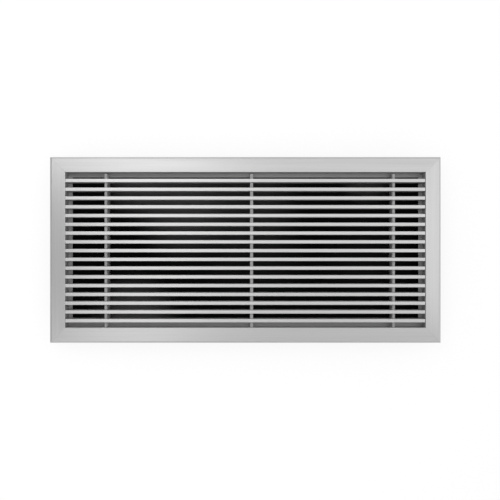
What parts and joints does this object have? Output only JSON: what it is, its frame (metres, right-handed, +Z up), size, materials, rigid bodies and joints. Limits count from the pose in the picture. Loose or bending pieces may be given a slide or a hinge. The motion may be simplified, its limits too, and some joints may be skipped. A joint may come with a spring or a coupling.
{
  "type": "floor grille",
  "caption": "Rectangular linear bar floor grille: a mitred aluminium frame with a flange, and a drop-in core of straight bars on notched cross bars.",
  "frame": {"origin": "on the lower rim of the neck, under the middle of the face", "axes": "+X along the bars, +Y across them towards the back, +Z up out of the floor through the face"},
  "size_m": [0.5568, 0.2648, 0.04],
  "materials": {
    "frame_aluminium": "satin anodised, grain along each rail",
    "bar_aluminium": "satin anodised, grain along each bar",
    "cross_bar_aluminium": "mill finish, a little duller than the bars",
    "key_steel": "zinc-plated pressed steel"
  },
  "bodies": {
    "root": {"frame_rail_front": "frame_aluminium", "frame_rail_back": "frame_aluminium", "frame_rail_left": "frame_aluminium", "frame_rail_right": "frame_aluminium", "corner_key_front_left": "key_steel", "corner_key_front_right": "key_steel", "corner_key_back_left": "key_steel", "corner_key_back_right": "key_steel", "bar_01": "bar_aluminium", "bar_02": "bar_aluminium", "bar_03": "bar_aluminium", "bar_04": "bar_aluminium", "bar_05": "bar_aluminium", "bar_06": "bar_aluminium", "bar_07": "bar_aluminium", "bar_08": "bar_aluminium", "bar_09": "bar_aluminium", "bar_10": "bar_aluminium", "bar_11": "bar_aluminium", "bar_12": "bar_aluminium", "bar_13": "bar_aluminium", "bar_14": "bar_aluminium", "bar_15": "bar_aluminium", "bar_16": "bar_aluminium", "bar_17": "bar_aluminium", "cross_bar_left": "cross_bar_aluminium", "cross_bar_middle": "cross_bar_aluminium", "cross_bar_right": "cross_bar_aluminium"}
  },
  "joints": []
}
